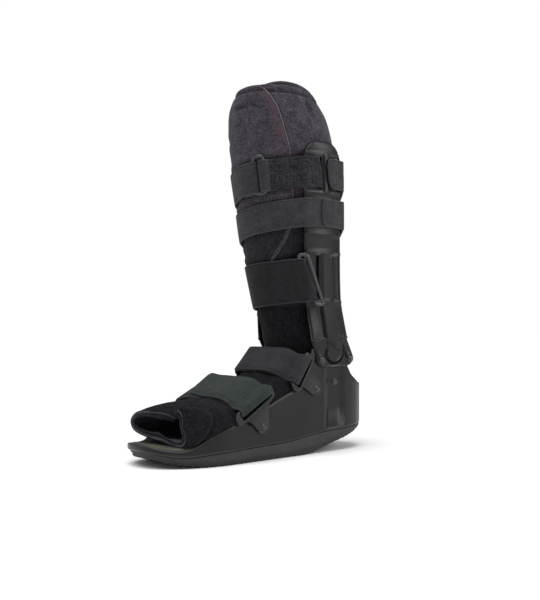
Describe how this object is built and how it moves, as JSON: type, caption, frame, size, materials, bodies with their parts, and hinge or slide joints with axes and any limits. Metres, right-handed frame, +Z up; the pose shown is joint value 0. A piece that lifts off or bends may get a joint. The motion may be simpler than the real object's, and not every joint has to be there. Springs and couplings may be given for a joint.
{
  "type": "medical walking boot",
  "caption": "Tall medical walking boot: rocker sole, plastic base with riveted side uprights, padded open-toe liner and hook-and-loop straps, standing empty.",
  "frame": {"origin": "on the flat of the outsole, half way along the sole, on the middle line", "axes": "+Z up, -Y towards the toes, +X towards the side where the straps end"},
  "size_m": [0.1317, 0.2978, 0.43],
  "materials": {
    "sole_rubber": "moulded rubber tread, matt",
    "shell_plastic": "moulded charcoal plastic, fine grain",
    "insole_foam": "olive grey foam sheet",
    "liner_plush": "brushed loop cloth over foam",
    "strap_webbing": "laminated loop webbing, welded edges",
    "strap_pile": "fuzzy loop pile"
  },
  "bodies": {
    "root": {"outsole": "sole_rubber", "base_shell": "shell_plastic", "insole_pad": "insole_foam", "liner": "liner_plush", "liner_flap": "liner_plush", "upright_right": "shell_plastic", "upright_left": "shell_plastic", "forefoot_loop_right": "shell_plastic", "forefoot_loop_left": "shell_plastic", "instep_loop_right": "shell_plastic", "instep_loop_left": "shell_plastic", "rivet_upright_front_right": "shell_plastic", "rivet_upright_rear_right": "shell_plastic", "rivet_ankle_right": "shell_plastic", "rivet_instep_loop_right": "shell_plastic", "rivet_forefoot_loop_right": "shell_plastic", "rivet_upright_front_left": "shell_plastic", "rivet_upright_rear_left": "shell_plastic", "rivet_ankle_left": "shell_plastic", "rivet_instep_loop_left": "shell_plastic", "rivet_forefoot_loop_left": "shell_plastic", "forefoot_strap": "strap_webbing", "instep_strap": "strap_webbing", "lower_strap": "strap_webbing", "lower_strap_ring": "shell_plastic", "mid_strap": "strap_webbing", "mid_strap_tab": "strap_webbing", "top_strap": "strap_webbing", "top_strap_pile": "strap_pile", "top_strap_ring": "shell_plastic"}
  },
  "joints": []
}
